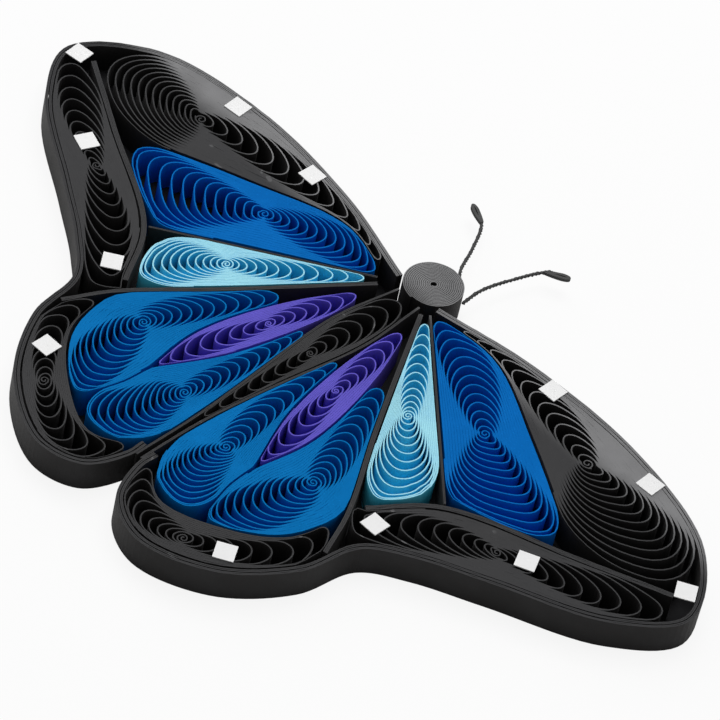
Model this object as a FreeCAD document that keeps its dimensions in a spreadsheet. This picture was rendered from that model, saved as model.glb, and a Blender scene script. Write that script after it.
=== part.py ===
import FreeCAD, Part
import math
import os
from FreeCAD import Placement, Rotation, Vector

# Quilled butterfly: coloured paper strips stand on edge, glued side by side.
# Plan: the head's middle is the reference, +Y past the head, x outward on each wing.
# The coils of a wing lie between shared rails, so a rail that moves takes both its
# neighbours along. At the end the whole plan is moved so that the origin is at the
# middle of the object's box, on the back face.

document = FreeCAD.newDocument("butterfly")
sheet = document.addObject("Spreadsheet::Sheet", "Sizes")

STRIP_SIZES = [
    ("strip_width", 5.0, "width of every strip, the height of the finished piece"),
    ("paper", 0.2, "thickness of the paper in a coil"),
    ("glue_gap", 0.1, "clearance between neighbouring pieces"),
    ("border_ply", 0.45, "thickness of each border strip, two papers glued flat"),
    ("band_ply", 0.8, "layers between edge coil and inner coils, together"),
    ("divider_ply", 0.35, "strip between dark and light blue"),
    ("waist_ply", 0.7, "layers between forewing and hindwing, together"),
    ("body_ply", 0.25, "strip beside the body"),
    ("flank_gap", 0.08, "air between the packed turns at a coil's flanks"),
    ("eye_radius", 0.8, "half width of the innermost turn of a coil"),
    ("tip_half_width", 0.4, "half width of a coil at a pinched point"),
    ("tip_step", 0.5, "least way between the tips of two neighbouring turns"),
    ("square_end_gap", 0.9, "dark coil's square end off the curved band"),
    ("body_top_x", 2.2, "half width of the body beside the head"),
    ("body_lean", 2.6, "how far the hind end stands to the right of the head"),
]

HEAD_SIZES = [
    ("head_diameter", 9.3, "tight roll of the head"),
    ("head_ply", 0.5, "thickness of one turn of the head"),
    ("head_eye_radius", 0.45, "half width of the open eye of the head"),
    ("head_turn_gap", 0.06, "air between two turns of the head"),
    ("antenna_ply", 0.6, "thickness of the antenna twist"),
    ("antenna_rise", 2.2, "underside of the antennae above the back face"),
    ("bud_width", 1.5, "width of the rolled end of an antenna"),
    ("spot_size", 3.0, "side of a white square"),
    ("spot_ply", 0.2, "thickness of a white square"),
]

# How far each coil stays back from the end of its cell.
END_GAPS = [
    ("front_end_gap", 1.0, "front coil, from the wing's tip"),
    ("edge_end_gap", 1.5, "edge coil, from the notch"),
    ("light_end_gap", 0.4, "light blue coil"),
    ("outer_end_gap", 0.4, "outer blue coil"),
    ("purple_end_gap", 0.3, "purple coil"),
    ("inner_end_gap", 0.6, "inner blue coil"),
    ("hind_end_gap", 0.6, "hind edge coil"),
    ("body_end_gap", 0.5, "body coil"),
]

# Where the cells leave one rail for the next, as shares of the rail's length.
TURNING_SHARES = [
    ("dark_corner", 0.40, "dark coil's front corner, along its end line"),
    ("dark_foot", 0.96, "dark coil's rear corner, along the divider"),
    ("dark_foot_back", 0.06, "its end line's last point, before the divider"),
    ("light_corner", 0.97, "light coil's front corner, along the divider"),
    ("light_corner_past", 0.02, "its first point on the band, past the divider"),
    ("light_foot", 0.86, "its last point on the band"),
    ("light_foot_back", 0.03, "its end on the waist, before the band's foot"),
    ("edge_corner", 0.80, "edge coil's corner, along the waist"),
    ("edge_foot", 0.90, "its last point on the waist"),
]

# Points of the rails on one wing: name, distance outward, distance forward.
RAIL_POINTS = [
    ("lead_mid", 20.0, 1.3),
    ("lead_far", 41.0, 2.3),
    ("shoulder", 59.0, -2.4),
    ("tip", 67.2, -13.4),
    ("tip_low", 61.0, -23.0),
    ("edge_mid", 46.0, -32.2),
    ("edge_low", 36.8, -37.8),
    ("notch", 31.0, -43.0),
    ("hind_side", 28.9, -52.5),
    ("hind_corner", 21.7, -62.6),
    ("hind_foot", 10.8, -67.8),
    ("lobe", 3.6, -65.2),
    ("tail", 0.8, -58.8),
    ("throat", 6.2, -4.7),
    ("hump", 16.0, -2.7),
    ("hump_far", 31.0, -9.2),
    ("fork", 49.6, -19.0),
    ("band_tip", 62.6, -12.2),
    ("band_corner", 32.4, -28.1),
    ("band_foot", 25.9, -37.4),
    ("blue_foot", 31.6, -28.0),
    ("blue_root", 5.7, -6.0),
    ("waist_root", 4.7, -6.9),
    ("waist_mid", 16.4, -26.6),
    ("waist_low", 25.0, -39.8),
    ("waist_foot", 28.4, -47.6),
    ("purple_top", 4.2, -8.2),
    ("purple_outer", 9.2, -19.8),
    ("purple_low", 12.4, -35.0),
    ("purple_foot", 11.2, -45.4),
    ("purple_inner", 3.7, -17.5),
    ("purple_side", 6.4, -33.7),
    ("seam_mid", 11.5, -50.5),
    ("seam_foot", 13.4, -57.4),
    ("ring_start", 25.2, -41.6),
    ("ring_side", 23.1, -50.2),
    ("ring_low", 15.7, -57.0),
    ("ring_foot", 7.6, -60.3),
    ("ring_end", 1.9, -56.6),
    ("body_wide", 3.3, -17.0),
    ("body_narrow", 1.7, -34.0),
    ("body_low", 0.9, -46.0),
    ("body_end", 0.8, -57.6),
]

# The antennae in plan, from the head outward.
ANTENNA_POINTS = [
    ("left_near", -1.5, 7.3),
    ("left_middle", -3.7, 11.6),
    ("left_far", -7.0, 16.6),
    ("left_end", -10.4, 18.0),
    ("right_near", 3.2, 7.0),
    ("right_middle", 4.0, 12.0),
    ("right_far", 6.2, 18.6),
    ("right_end", 8.6, 19.8),
]

# Each coil: its turns; for the left and then the right wing its eye as a share of the
# length from the point, and how far the eye lies to the rear, as a share of the width.
COILS = [
    ("front", 6.75, 0.66, 0.0, 0.56, 0.0),
    ("edge", 4.75, 0.47, 0.0, 0.54, 0.0),
    ("dark", 5.75, 0.50, -0.2, 0.52, 0.0),
    ("light", 6.75, 0.62, -0.1, 0.52, 0.1),
    ("outer", 5.75, 0.56, 0.0, 0.56, 0.0),
    ("purple", 4.75, 0.45, 0.0, 0.47, 0.1),
    ("inner", 5.75, 0.60, 0.1, 0.66, -0.1),
    ("hind", 3.75, 0.51, 0.0, 0.62, 0.1),
    ("body", 5.75, 0.48, 0.0, 0.48, 0.0),
]

# White squares: how far along the rim, how far inside it, and how they are turned.
SPOTS = [
    ("left_inner_lead", 0.136, 2.35, 2.0),
    ("left_outer_lead", 0.240, 2.16, 8.0),
    ("left_tip", 0.415, 2.0, 10.0),
    ("left_edge", 0.549, 5.1, -17.0),
    ("left_notch", 0.686, 5.2, 40.0),
    ("left_hind", 0.797, 3.9, 4.0),
    ("right_inner_lead", 0.128, 1.7, 4.0),
    ("right_outer_lead", 0.256, 2.1, 5.0),
    ("right_tip", 0.390, 2.6, 35.0),
    ("right_edge", 0.573, 6.0, 30.0),
    ("right_notch", 0.694, 4.5, 3.0),
    ("right_hind", 0.831, 3.6, 35.0),
]


def fill_sheet():
    """Write every driving size into the sheet, one alias each."""
    rows = STRIP_SIZES + HEAD_SIZES + END_GAPS + TURNING_SHARES
    for name, outward, forward in RAIL_POINTS + ANTENNA_POINTS:
        rows.append((name + "_x", outward, "rail point, outward"))
        rows.append((name + "_y", forward, "rail point, forward"))
    for name, turns, left_eye, left_side, right_eye, right_side in COILS:
        rows.append((name + "_turns", turns, "turns of the coil"))
        rows.append((name + "_left_eye", left_eye, "share of the length to the eye"))
        rows.append((name + "_left_aside", left_side, "share of the half width"))
        rows.append((name + "_right_eye", right_eye, "share of the length to the eye"))
        rows.append((name + "_right_aside", right_side, "share of the half width"))
    for name, share, inset, turn in SPOTS:
        rows.append((name + "_share", share, "share of the rim's length"))
        rows.append((name + "_inset", inset, "distance inside the rim"))
        rows.append((name + "_turn", turn, "degrees the square is turned"))
    for row, (alias, value, meaning) in enumerate(rows, 1):
        sheet.set("A%d" % row, alias)
        sheet.set("B%d" % row, str(value))
        sheet.set("C%d" % row, meaning)
        sheet.setAlias("B%d" % row, alias)
    document.recompute()


def size(alias):
    """One driving size from the sheet."""
    return float(getattr(sheet, alias))


def rail_point(name):
    """A named point of the wing's plan."""
    return Vector(size(name + "_x"), size(name + "_y"), 0)


def smooth(points, steps):
    """A soft curve through the points, as straight pieces, steps to each span."""
    first = points[0] * 2 - points[1]
    last = points[-1] * 2 - points[-2]
    ends = [first] + list(points) + [last]
    path = [points[0]]
    for before, start, end, after in zip(ends, ends[1:], ends[2:], ends[3:]):
        d0 = math.sqrt((start - before).Length)
        d1 = math.sqrt((end - start).Length)
        d2 = math.sqrt((after - end).Length)
        leave = ((start - before) * (1 / d0) - (end - before) * (1 / (d0 + d1))
                 + (end - start) * (1 / d1)) * d1
        arrive = ((end - start) * (1 / d1) - (after - start) * (1 / (d1 + d2))
                  + (after - end) * (1 / d2)) * d1
        for step in range(1, steps + 1):
            t = step / steps
            path.append(start * (2 * t**3 - 3 * t**2 + 1) + leave * (t**3 - 2 * t**2 + t)
                        + end * (3 * t**2 - 2 * t**3) + arrive * (t**3 - t**2))
    return path


def lengths(path):
    """Distance along the path at each of its points."""
    run = [0.0]
    for start, end in zip(path, path[1:]):
        run.append(run[-1] + (end - start).Length)
    return run


def along(path, share):
    """The point at a share of the path's length."""
    run = lengths(path)
    target = min(max(share, 0.0), 1.0) * run[-1]
    for index in range(1, len(path)):
        if run[index] >= target:
            part = (target - run[index - 1]) / (run[index] - run[index - 1])
            return path[index - 1] + (path[index] - path[index - 1]) * part
    return path[-1]


def cut(path, start, end):
    """The stretch of a path between two shares of its length."""
    run = lengths(path)
    inside = [point for point, distance in zip(path, run)
              if start * run[-1] < distance < end * run[-1]]
    return [along(path, start)] + inside + [along(path, end)]


def share_near(path, point):
    """The share of the path's length that lies nearest to the point."""
    run = lengths(path)
    best = (1e9, 0.0)
    for index in range(1, len(path)):
        step = path[index] - path[index - 1]
        part = (point - path[index - 1]).dot(step) / step.dot(step)
        part = min(max(part, 0.0), 1.0)
        gap = (path[index - 1] + step * part - point).Length
        best = min(best, (gap, run[index - 1] + step.Length * part))
    return best[1] / run[-1]


def left_normal(start, end):
    """Unit vector to the left of the way from start to end."""
    step = (end - start).normalize()
    return Vector(-step.y, step.x, 0)


def offset(path, distance):
    """The path moved to its left by the distance, or by one distance for each point."""
    moved = []
    for index, point in enumerate(path):
        reach = distance[index] if isinstance(distance, list) else distance
        before = path[max(index - 1, 0)]
        after = path[min(index + 1, len(path) - 1)]
        if index in (0, len(path) - 1):
            moved.append(point + left_normal(before, after) * reach)
            continue
        normal = left_normal(before, point) + left_normal(point, after)
        normal.normalize()
        mitre = normal.dot(left_normal(point, after))
        moved.append(point + normal * (reach / max(mitre, 0.3)))
    return moved


def strip_face(path, ply):
    """The top face of a strip that stands on edge along the path."""
    half = [value / 2 for value in ply] if isinstance(ply, list) else ply / 2
    minus = [-value for value in half] if isinstance(half, list) else -half
    edge = offset(path, half) + offset(path, minus)[::-1]
    return Part.Face(Part.makePolygon(edge + [edge[0]]))


class Cell:
    """The room between two rails, from a coil's point to its far end."""

    def __init__(self, front, rear, front_gap, rear_gap, end_gap):
        self.front = front
        self.rear = rear
        self.front_gap = front_gap
        self.rear_gap = rear_gap
        self.start = self.first_wide_share()
        self.end = 1.0 - end_gap / lengths(front)[-1]

    def section(self, share):
        """Middle, direction from the front rail to the rear rail, and half the width."""
        front = along(self.front, share)
        rear = along(self.rear, share)
        half = max((rear - front).Length / 2, 1e-6)
        return (front + rear) * 0.5, (rear - front) * (0.5 / half), half

    def room(self, share, flank, outside):
        """How far from the middle a turn may lie, with some turns outside it.

        The flank is -1 for the front rail and 1 for the rear rail."""
        direction, half = self.section(share)[1:]
        path = self.front if flank < 0 else self.rear
        gap = self.front_gap if flank < 0 else self.rear_gap
        slant = abs(direction.dot(left_normal(along(path, share - 0.01),
                                              along(path, share + 0.01))))
        depth = gap + size("paper") / 2 + outside * (size("paper") + size("flank_gap"))
        return half - depth / max(slant, 0.5)

    def least_room(self, share, outside):
        """The smaller of the two flanks' rooms."""
        return min(self.room(share, -1, outside), self.room(share, 1, outside))

    def first_wide_share(self):
        """Where the room first holds a pinched point."""
        for step in range(0, 90):
            if self.least_room(step / 100, 0) >= size("tip_half_width"):
                return step / 100
        return 0.9


# How an end of a coil bends: the corners of its arches in degrees off the axis, and how
# full the innermost and the outermost arch are (2 is an ellipse).
ROUND_END = ((17, 50), 2.2, 2.6)
FULL_END = ((17, 50), 2.2, 3.2)
PINCHED_END = ((14,), 2.2, 6.0)
# An arch's corner moves to a rail's corner that is nearer than the first length; no
# straight piece is shorter than the second.
CORNER_GAP = 1.2
LEAST_PIECE = 0.4


class Coil:
    """One wound strip in its cell: packed at the flanks, open arches at both ends."""

    def __init__(self, cell, key, side_name, near_end, far_end):
        self.cell = cell
        self.turns = size(key + "_turns")
        self.eye = cell.start + (cell.end - cell.start) * size(key + side_name + "eye")
        self.aside = size(key + side_name + "aside")
        self.ends = (near_end, far_end)
        eye_room = cell.least_room(self.eye, self.turns)
        self.core = min(size("eye_radius") / max(eye_room, 1e-6), 1.0)
        self.length = lengths(cell.front)[-1]

    def end_of(self, wound):
        """Which end a tip points to: 0 the near end, 1 the far end."""
        return 1 if abs(wound - round(wound)) < 0.25 else 0

    def level(self, wound):
        """How far out a tip lies, 1 for the outermost at its end."""
        last = math.floor(self.turns) if self.end_of(wound) else math.floor(self.turns - 0.5) + 0.5
        return min(wound / last, 1.0)

    def tip(self, wound):
        """The share at which a turn's tip lies, as far out as it finds room."""
        end = self.cell.end if self.end_of(wound) else self.cell.start
        level = self.level(wound)
        reach = abs(end - self.eye) * level
        need = size("tip_half_width")
        if wound + 1 <= self.turns:
            outside = abs(self.tip(wound + 1) - self.eye)
            reach = min(reach, outside - size("tip_step") / self.length)
            need += size("tip_half_width")
        for step in range(100):
            share = self.eye + math.copysign(reach * (1 - step / 100), end - self.eye)
            if self.cell.least_room(share, self.turns - wound) >= need:
                return share
        return self.eye

    def point(self, share, flank, wound, arch):
        """A corner of the path, on one flank."""
        middle, direction = self.cell.section(share)[:2]
        room = self.cell.room(share, flank, self.turns - wound)
        part = wound / self.turns
        spread = self.core + (1 - self.core) * (1 - (1 - part)**2)
        shift = self.aside * room * (1 - part)**2
        return middle + direction * (flank * max(room, 0.1) * spread * arch + shift)

    def stations(self, rail):
        """Shares that all turns have corners at: the rail's own corners, and the eye's."""
        run = lengths(rail)
        clear = CORNER_GAP / self.length
        found = [0.0]
        for distance in run[1:-1]:
            if found[-1] + clear < distance / run[-1]:
                found.append(distance / run[-1])
        if all(abs(share - self.eye) > 2 * clear for share in found):
            found.append(self.eye)
        return found[1:]

    def arch(self, share, wound):
        """How far out the path lies at a share, 1 on the flank and 0 at the tip."""
        bends, thin, full = self.ends[self.end_of(wound)]
        power = thin + (full - thin) * self.level(wound)**2
        reach = math.cos(math.radians(min(bends)))**(2 / power)
        ratio = abs((share - self.eye) / (self.tip(wound) - self.eye)) * reach
        return (1 - min(ratio, reach)**power)**(1 / power)

    def arch_shares(self, wound, stations):
        """Shares of an arch's corners, drawn to a station where one is near."""
        bends, thin, full = self.ends[self.end_of(wound)]
        power = thin + (full - thin) * self.level(wound)**2
        reach = math.cos(math.radians(min(bends)))
        tip = self.tip(wound)
        shares = []
        for bend in bends:
            ratio = (math.cos(math.radians(bend)) / reach)**(2 / power)
            share = self.eye + (tip - self.eye) * ratio
            near = min(stations, key=lambda station: abs(station - share))
            if ratio < 1 and abs(near - share) < CORNER_GAP / self.length:
                share = near
            shares.append(share)
        return shares

    def half_turn(self, wound, stop):
        """Corners from the tip at wound to the next tip, or to the strip's end."""
        flank = -1 if self.end_of(wound) == 0 else 1
        start = self.tip(wound)
        goal = self.tip(wound + 0.5)
        rail = self.cell.front if flank < 0 else self.cell.rear
        stations = self.stations(rail)
        shares = self.arch_shares(wound, stations) + self.arch_shares(wound + 0.5, stations)
        near_edge = max(share for share in shares if share < self.eye)
        far_edge = min(share for share in shares if share > self.eye)
        shares += [share for share in stations if near_edge < share < far_edge]
        shares.sort(reverse=goal < start)
        shares = [share for share, before in zip(shares, [None] + shares)
                  if before is None or abs(share - before) * self.length > LEAST_PIECE]
        corners = []
        for share in shares:
            part = wound + 0.5 * (share - start) / (goal - start)
            base = wound if (share - self.eye) * (start - self.eye) > 0 else wound + 0.5
            if part <= stop:
                corners.append(self.point(share, flank, part, self.arch(share, base)))
        return corners

    def path(self):
        """The strip's middle line from the eye to its outer end."""
        corners = []
        wound = 0.5
        while wound < self.turns:
            corners += self.half_turn(wound, self.turns)
            wound += 0.5
        return corners


def to_plan(path, side):
    """The wing's path in the plan of the whole piece, with the body's lean."""
    length = abs(size("hind_foot_y"))
    return [Vector(side * p.x + size("body_lean") * (p.y / length) ** 2, p.y, 0) for p in path]


def add_strip(label, path, ply):
    """A strip on edge: its top face drawn once and drawn out to the strip's width."""
    face = document.addObject("Part::Feature", label + "_edge")
    face.Shape = strip_face(path, ply)
    strip = document.addObject("Part::Extrusion", label)
    strip.Label = label
    strip.Base = face
    strip.DirMode = "Custom"
    strip.Dir = Vector(0, 0, 1)
    strip.Solid = True
    strip.setExpression("LengthFwd", "Sizes.strip_width")
    return strip


# Straight pieces to each span between named points, and where the rim leaves the head.
RIM_STEPS = 3
RAIL_STEPS = 2
ROOT_ANGLE = math.radians(-33)


def make_rails():
    """All shared rails of one wing, in the wing's own plan."""
    reach = size("head_diameter") / 2 + size("glue_gap")
    root = Vector(reach * math.cos(ROOT_ANGLE), reach * math.sin(ROOT_ANGLE), 0)
    names = ["lead_mid", "lead_far", "shoulder", "tip", "tip_low", "edge_mid", "edge_low",
             "notch", "hind_side", "hind_corner", "hind_foot", "lobe", "tail"]
    outline = smooth([root] + [rail_point(name) for name in names], RIM_STEPS)
    depth = 2 * size("border_ply") + size("glue_gap")
    body_top = Vector(size("body_top_x"), -reach - size("paper"), 0)
    rails = {
        "outline": outline,
        "rim": offset(outline, -depth),
        "hump": rail(["throat", "hump", "hump_far", "fork"]),
        "band": rail(["band_tip", "fork", "band_corner", "band_foot"]),
        "waist": rail(["waist_root", "waist_mid", "waist_low", "waist_foot"]),
        "purple_out": rail(["purple_top", "purple_outer", "purple_low", "purple_foot"]),
        "purple_in": rail(["purple_top", "purple_inner", "purple_side", "purple_foot"]),
        "seam": rail(["purple_foot", "seam_mid", "seam_foot"]),
        "ring": rail(["ring_start", "ring_side", "ring_low", "ring_foot", "ring_end"]),
        "body": smooth([body_top] + [rail_point(name) for name in
                       ("body_wide", "body_narrow", "body_low", "body_end")], RAIL_STEPS),
    }
    clear = size("band_ply") / 2 + size("glue_gap") + size("divider_ply") / 2
    inside = offset(rails["band"], -clear)
    foot = along(inside, share_near(inside, rail_point("blue_foot")))
    rails["blue"] = [rail_point("blue_root"), foot]
    return rails


def rail(names):
    """A smooth rail through named points."""
    return smooth([rail_point(name) for name in names], RAIL_STEPS)


def piece_of(path, start_point, end_point):
    """The stretch of a path between the places nearest to two points."""
    start = share_near(path, start_point)
    end = share_near(path, end_point)
    return cut(path, start, end)


def wing_cells(rails):
    """The room of each coil of one wing."""
    gap = size("glue_gap")
    band_half = size("band_ply") / 2
    waist_half = size("waist_ply") / 2
    divider_half = size("divider_ply") / 2
    body_half = size("body_ply") / 2
    inside_band = offset(rails["band"], -band_half - gap)
    outside_band = offset(rails["band"], band_half + gap)
    point = rail_point
    cells = {}

    # The front coil reaches from the throat to the tip, under the leading edge.
    front_rim = piece_of(rails["rim"], point("throat"), point("band_tip"))
    cells["front"] = Cell(front_rim, rails["hump"], gap, gap, size("front_end_gap"))

    # The dark blue coil ends square, a little off the bulging band.
    end_line = offset(rails["band"], -band_half - gap - size("square_end_gap"))
    blue_end = share_near(inside_band, point("blue_foot"))
    dark_front = rails["hump"][:-1] + [along(end_line, size("dark_corner"))]
    dark_rear = [point("blue_root"), along(rails["blue"], size("dark_foot"))]
    dark_rear += [along(end_line, blue_end - size("dark_foot_back"))]
    cells["dark"] = Cell(dark_front, dark_rear, gap, divider_half + gap, gap)

    # The light blue coil fills the corner between divider, band and waist.
    light_front = rails["blue"][:1] + [along(rails["blue"], size("light_corner"))]
    light_front += cut(inside_band, blue_end + size("light_corner_past"), size("light_foot"))
    foot_share = share_near(rails["waist"], point("band_foot")) - size("light_foot_back")
    light_rear = cut(rails["waist"], 0.0, foot_share)
    cells["light"] = Cell(light_front, light_rear, divider_half + gap, waist_half + gap,
                          size("light_end_gap"))

    # The edge coil runs from the tip to the notch.
    notch_side = cut(offset(rails["waist"], waist_half + gap), size("edge_corner"),
                     size("edge_foot"))
    edge_front = outside_band[1:] + notch_side[1:]
    edge_rear = piece_of(rails["rim"], point("tip"), notch_side[-1])
    cells["edge"] = Cell(edge_rear, edge_front, gap, gap, size("edge_end_gap"))

    # Hindwing: outer blue, purple, inner blue, and the crescent round them.
    waist_inner = offset(rails["waist"], -waist_half)
    outer_front = piece_of(waist_inner, point("purple_outer"), point("ring_start"))
    outer_front += piece_of(offset(rails["ring"], -gap), point("ring_start"),
                            point("ring_low"))
    outer_rear = piece_of(rails["purple_out"], point("purple_outer"), point("purple_foot"))
    outer_rear += rails["seam"][1:]
    cells["outer"] = Cell(outer_front, outer_rear, gap, gap, size("outer_end_gap"))
    cells["purple"] = Cell(rails["purple_out"], rails["purple_in"], gap, gap,
                           size("purple_end_gap"))
    inner_front = piece_of(rails["purple_in"], point("purple_inner"), point("purple_foot"))
    inner_front += rails["seam"][1:]
    inner_rear = piece_of(rails["body"], point("purple_inner"), point("ring_end"))
    inner_rear += piece_of(rails["ring"], point("ring_foot"), point("ring_end"))[::-1]
    cells["inner"] = Cell(inner_front, inner_rear, gap, gap + body_half,
                          size("inner_end_gap"))
    hind_front = rails["ring"]
    hind_rear = piece_of(waist_inner, point("ring_start"), point("waist_foot"))
    hind_rear += piece_of(rails["rim"], point("hind_side"), rails["rim"][-1])
    cells["hind"] = Cell(hind_front, hind_rear, gap, gap, size("hind_end_gap"))
    return cells


# Name of each wing coil's piece, and its near and far ends.
COIL_NAMES = {
    "front": ("forewing_front_coil", PINCHED_END, ROUND_END),
    "edge": ("forewing_edge_coil", ROUND_END, ROUND_END),
    "dark": ("forewing_dark_blue_coil", PINCHED_END, FULL_END),
    "light": ("forewing_light_blue_coil", PINCHED_END, ROUND_END),
    "outer": ("hindwing_outer_blue_coil", PINCHED_END, ROUND_END),
    "purple": ("hindwing_purple_coil", PINCHED_END, PINCHED_END),
    "inner": ("hindwing_inner_blue_coil", PINCHED_END, ROUND_END),
    "hind": ("hindwing_edge_coil", ROUND_END, ROUND_END),
}


def make_wing(side_name, side, rails, cells):
    """Coils and strips of one wing; side is -1 for the left wing, 1 for the right."""
    pieces = []
    for key, (label, near_end, far_end) in COIL_NAMES.items():
        coil = Coil(cells[key], key, "_" + side_name, near_end, far_end)
        pieces.append(add_strip(side_name + label, to_plan(coil.path(), side), size("paper")))
    border = size("border_ply")
    strips = [
        ("outer_border_strip", offset(rails["outline"], -border / 2), border),
        ("inner_border_strip", offset(rails["outline"], -1.5 * border - size("glue_gap")),
         border),
        ("forewing_band_strip", rails["band"], size("band_ply")),
        ("blue_divider_strip", rails["blue"], size("divider_ply")),
        ("waist_strip", rails["waist"], size("waist_ply")),
        ("body_side_strip", rails["body"], size("body_ply")),
    ]
    for label, path, ply in strips:
        pieces.append(add_strip(side_name + label, to_plan(path, side), ply))
    return pieces


def make_spots(side_name, side, rails):
    """White paper squares glued on top along the rim."""
    pieces = []
    for name, _, _, _ in SPOTS:
        if not name.startswith(side_name):
            continue
        share = size(name + "_share")
        before = along(rails["outline"], share - 0.01)
        after = along(rails["outline"], share + 0.01)
        inward = left_normal(before, after) * -1
        centre = along(rails["outline"], share) + inward * size(name + "_inset")
        centre = to_plan([centre], side)[0] + Vector(0, 0, size("strip_width"))
        spot = document.addObject("Part::Box", name + "_spot")
        spot.Label = name + "_spot"
        spot.setExpression("Length", "Sizes.spot_size")
        spot.setExpression("Width", "Sizes.spot_size")
        spot.setExpression("Height", "Sizes.spot_ply")
        turn = Rotation(Vector(0, 0, 1), size(name + "_turn"))
        corner = Vector(-size("spot_size") / 2, -size("spot_size") / 2, 0)
        spot.Placement = Placement(centre + turn.multVec(corner), turn)
        pieces.append(spot)
    return pieces


# Corners to one turn of the head, and where its outer end lies: beside the body.
HEAD_CORNERS = 16
HEAD_END_ANGLE = math.radians(-90)


def make_head():
    """The head: one strip rolled tight, its turns a hair apart, round an open eye."""
    pitch = size("head_ply") + size("head_turn_gap")
    outer = (size("head_diameter") - size("head_ply")) / 2
    inner = size("head_eye_radius") + size("head_ply") / 2
    path = []
    for index in range(int(HEAD_CORNERS * (outer - inner) / pitch) + 1):
        away = outer - pitch * index / HEAD_CORNERS
        angle = HEAD_END_ANGLE + 2 * math.pi * index / HEAD_CORNERS
        path.append(Vector(away * math.cos(angle), away * math.sin(angle), 0))
    return add_strip("head_coil", path, size("head_ply"))


def make_body(rails):
    """The body: a loose coil between the two wings, pinched at both ends."""
    right = piece_of(rails["body"], rails["body"][0], rail_point("body_low"))
    left = [Vector(-p.x, p.y, 0) for p in right]
    side_gap = size("body_ply") / 2 + size("glue_gap")
    cell = Cell(left, right, side_gap, side_gap, size("body_end_gap"))
    coil = Coil(cell, "body", "_left_", PINCHED_END, PINCHED_END)
    return add_strip("body_coil", to_plan(coil.path(), 1), size("paper"))


# Width of an antenna's end at its last points, as shares of the bud's width.
BUD_SHARES = (0.75, 1.0, 0.7)
ANTENNA_STEPS = 3


def make_antenna(side_name):
    """A thin twist from the head's side with a flattened, rolled end."""
    points = [rail_point(side_name + name) for name in ("_near", "_middle", "_far", "_end")]
    start = size("head_diameter") / 2 + size("glue_gap")
    away = (points[0] * 2 - points[1]).normalize() * start
    path = smooth([away] + points, ANTENNA_STEPS)
    ply = [size("antenna_ply")] * (len(path) - len(BUD_SHARES))
    ply += [size("bud_width") * share for share in BUD_SHARES]
    piece = add_strip(side_name + "_antenna", path, ply)
    piece.setExpression("LengthFwd", "Sizes.antenna_ply")
    piece.Placement = Placement(Vector(0, 0, size("antenna_rise")), Rotation())
    return piece


def centre_on_back(pieces):
    """Move every piece so that the origin is the middle of the box, on the back face."""
    box = FreeCAD.BoundBox()
    for piece in pieces:
        box.add(piece.Shape.BoundBox)
    shift = Vector(-box.Center.x, -box.Center.y, -box.ZMin)
    for piece in pieces:
        piece.Placement = Placement(piece.Placement.Base + shift, piece.Placement.Rotation)
    document.recompute()


def check_and_write(pieces):
    """Stop on a failed object or a broken solid, then write one file for each piece."""
    for thing in document.Objects:
        if "Invalid" in thing.State or "Error" in thing.State:
            raise ValueError(thing.Label + " failed: " + str(thing.State))
    for piece in pieces:
        if piece.Shape.isNull() or not piece.Shape.isValid() or len(piece.Shape.Solids) != 1:
            raise ValueError(piece.Label + " is not one valid solid")
    os.makedirs("parts", exist_ok=True)
    for piece in pieces:
        piece.Shape.exportStep("parts/" + piece.Label + ".step")
        print("%-40s %9.1f mm3" % (piece.Label, piece.Shape.Volume))


def main():
    fill_sheet()
    rails = make_rails()
    cells = wing_cells(rails)
    pieces = [make_head(), make_body(rails), make_antenna("left"), make_antenna("right")]
    for side_name, side in (("left_", -1), ("right_", 1)):
        pieces += make_wing(side_name, side, rails, cells)
        pieces += make_spots(side_name, side, rails)
    document.recompute()
    centre_on_back(pieces)
    check_and_write(pieces)


main()
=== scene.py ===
# %% [markdown]
# A quilled butterfly, dressed around its measured frame.
# The real thing is made of coloured paper strips that stand on edge. Each strip is wound
# into a coil, pushed into a teardrop or a crescent and glued inside a black border.
# The frame gives every piece its place; this lesson gives each its fine turns and its
# paper. First come the tools and the frame itself.

# %% Tools and the frame
import math
import random
from bisect import bisect_right

import bmesh
import bpy
from mathutils import Euler, Matrix, Vector
from mathutils.noise import noise


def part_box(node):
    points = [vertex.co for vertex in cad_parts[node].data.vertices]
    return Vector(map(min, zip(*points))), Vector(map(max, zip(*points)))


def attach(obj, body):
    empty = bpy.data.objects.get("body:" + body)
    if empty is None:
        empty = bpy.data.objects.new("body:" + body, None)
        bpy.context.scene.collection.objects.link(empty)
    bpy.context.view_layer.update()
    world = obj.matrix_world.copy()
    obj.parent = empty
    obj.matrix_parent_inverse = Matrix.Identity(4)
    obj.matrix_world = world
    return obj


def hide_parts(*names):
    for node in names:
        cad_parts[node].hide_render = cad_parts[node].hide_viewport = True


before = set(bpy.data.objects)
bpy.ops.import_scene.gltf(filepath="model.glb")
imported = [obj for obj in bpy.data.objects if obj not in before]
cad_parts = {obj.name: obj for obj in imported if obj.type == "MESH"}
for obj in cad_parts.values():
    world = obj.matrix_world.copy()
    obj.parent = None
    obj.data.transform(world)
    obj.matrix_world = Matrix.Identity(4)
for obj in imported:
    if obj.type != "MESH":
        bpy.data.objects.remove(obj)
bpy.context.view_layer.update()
MM = 0.001
print("nodes in the frame:", len(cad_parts))

# %% [markdown]
# The camera comes first. The picture was taken with a long lens from the lower right of the
# piece, so the lens is long here too and stands far away. The head's middle is the reference
# for all plan measures.

# %% Camera
head_low, head_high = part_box("head_coil")
STRIP = head_high.z - head_low.z
# The strip's outer end widens the roll's box; its middle lies so far off, in millimetres.
HEAD_ROLL_MIDDLE = (0.1400, -0.1347)
head_middle = Vector((
    (head_low.x + head_high.x) / 2 - HEAD_ROLL_MIDDLE[0] * MM,
    (head_low.y + head_high.y) / 2 - HEAD_ROLL_MIDDLE[1] * MM,
    0,
))

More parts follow.
